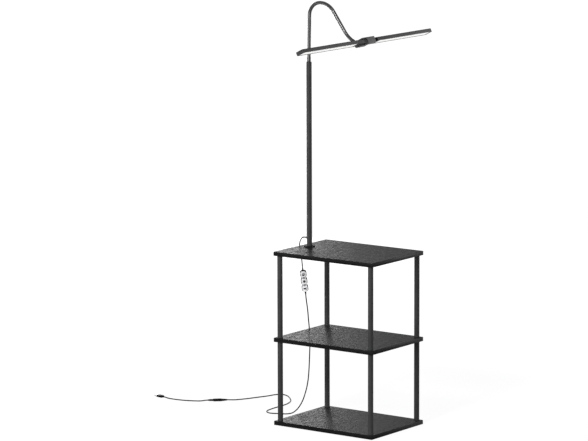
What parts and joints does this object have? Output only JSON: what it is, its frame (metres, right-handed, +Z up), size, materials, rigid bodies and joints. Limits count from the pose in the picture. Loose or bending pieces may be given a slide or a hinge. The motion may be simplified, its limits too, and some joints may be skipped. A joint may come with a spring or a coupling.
{
  "type": "floor lamp",
  "caption": "Side table on tube legs with a pole at one end, whose gooseneck carries a folding strip light head; a cord with an in-line button controller leaves the pole.",
  "frame": {"origin": "on the floor, at the centre of the bottom board's underside", "axes": "+X along the boards' long side, away from the pole; +Y along the boards' short side; +Z up the pole"},
  "size_m": [1.0124, 0.734, 1.4202],
  "materials": {
    "board_laminate": "matt black laminate with a fine pebbled grain",
    "edge_band": "smooth satin black edging",
    "black_steel": "satin black powder coat",
    "zinc_steel": "bright zinc plate",
    "black_plastic": "satin black moulding",
    "hub_grey": "satin dark grey moulding",
    "neck_skin": "semi-matt black coat over a flexible neck",
    "neck_fitting": "satin black",
    "wing_shell": "dark anodised, satin",
    "light_board": "white solder mask with yellow emitters",
    "diffuser": "opal white, softly glossy",
    "controller_face": "white satin moulding",
    "button_cap": "white satin caps with dark marks",
    "circuit_board": "green solder mask",
    "cord_jacket": "matt black soft jacket"
  },
  "bodies": {
    "base": {"bottom_board": "board_laminate", "middle_board": "board_laminate", "top_board": "board_laminate", "board_edging": "edge_band", "lower_leg_front_left": "black_steel", "lower_leg_front_right": "black_steel", "lower_leg_back_left": "black_steel", "lower_leg_back_right": "black_steel", "upper_leg_front_left": "black_steel", "upper_leg_front_right": "black_steel", "upper_leg_back_left": "black_steel", "upper_leg_back_right": "black_steel", "leg_plugs": "zinc_steel", "top_inserts": "zinc_steel", "leg_studs": "zinc_steel", "bottom_screws": "zinc_steel", "pole_flange": "black_steel", "pole_tube": "black_steel", "pole_plug": "zinc_steel", "pole_stud": "zinc_steel", "pole_washer": "zinc_steel", "pole_nut": "zinc_steel", "pole_bush": "black_plastic", "cord_grommet": "black_plastic", "inner_lead": "cord_jacket", "controller_back": "black_plastic", "controller_front": "controller_face", "controller_board": "circuit_board", "cord_upper": "cord_jacket", "cord_lower": "cord_jacket", "cord_tail": "cord_jacket", "coupling": "cord_jacket", "usb_plug": "cord_jacket"},
    "neck_base": {"neck_foot": "neck_fitting", "neck_lower": "neck_skin"},
    "neck_2": {"neck_rise_top": "neck_skin"},
    "neck_3": {"neck_arch": "neck_skin"},
    "neck_4": {"neck_slope": "neck_skin"},
    "neck_5": {"neck_end_run": "neck_skin", "neck_ferrule": "neck_fitting"},
    "head": {"tilt_screw": "zinc_steel", "tilt_nut": "zinc_steel", "hub_body": "hub_grey", "hub_cover": "black_plastic", "hub_screws": "zinc_steel", "fold_screws": "zinc_steel", "fold_washers": "zinc_steel"},
    "left_wing": {"left_wing_hinge": "black_plastic", "left_wing_housing": "wing_shell", "left_wing_strip": "light_board", "left_wing_diffuser": "diffuser", "left_wing_end_cap": "black_plastic"},
    "right_wing": {"right_wing_hinge": "black_plastic", "right_wing_housing": "wing_shell", "right_wing_strip": "light_board", "right_wing_diffuser": "diffuser", "right_wing_end_cap": "black_plastic"},
    "power_key": {"power_button": "button_cap"},
    "brighter_key": {"brighter_button": "button_cap"},
    "dimmer_key": {"dimmer_button": "button_cap"}
  },
  "joints": [
    {"name": "neck_turn", "type": "hinge", "parent": "base", "child": "neck_base", "pos_m": [-0.16, 0, 1.214], "axis": [0, 0, 1], "range_deg": [-60, 60]},
    {"name": "neck_bend_1", "type": "hinge", "parent": "neck_base", "child": "neck_2", "pos_m": [-0.15866, 0, 1.29299], "axis": [0, 1, 0], "range_deg": [-25, 15]},
    {"name": "neck_bend_2", "type": "hinge", "parent": "neck_2", "child": "neck_3", "pos_m": [-0.15731, 0, 1.36998], "axis": [0, 1, 0], "range_deg": [-25, 15]},
    {"name": "neck_bend_3", "type": "hinge", "parent": "neck_3", "child": "neck_4", "pos_m": [-0.11546, 0, 1.41408], "axis": [0, 1, 0], "range_deg": [-25, 15]},
    {"name": "neck_bend_4", "type": "hinge", "parent": "neck_4", "child": "neck_5", "pos_m": [-0.03624, 0, 1.35565], "axis": [0, 1, 0], "range_deg": [-25, 15]},
    {"name": "head_tilt", "type": "hinge", "parent": "neck_5", "child": "head", "pos_m": [0.03916, 0, 1.28025], "axis": [0, 1, 0], "range_deg": [-48, 72]},
    {"name": "left_wing_fold", "type": "hinge", "parent": "head", "child": "left_wing", "pos_m": [0.06946, -0.017, 1.29568], "axis": [0.891, 0, 0.454], "range_deg": [0, 85]},
    {"name": "right_wing_fold", "type": "hinge", "parent": "head", "child": "right_wing", "pos_m": [0.06946, 0.017, 1.29568], "axis": [-0.891, 0, -0.454], "range_deg": [0, 85]},
    {"name": "power_press", "type": "slide", "parent": "base", "child": "power_key", "axis": [-0.5878, 0.7942, 0.1544], "range_m": [0, 0.0007], "stiffness_N_per_m": 300, "springref_m": -0.0015},
    {"name": "brighter_press", "type": "slide", "parent": "base", "child": "brighter_key", "axis": [-0.5878, 0.7942, 0.1544], "range_m": [0, 0.0007], "stiffness_N_per_m": 300, "springref_m": -0.0015},
    {"name": "dimmer_press", "type": "slide", "parent": "base", "child": "dimmer_key", "axis": [-0.5878, 0.7942, 0.1544], "range_m": [0, 0.0007], "stiffness_N_per_m": 300, "springref_m": -0.0015}
  ]
}
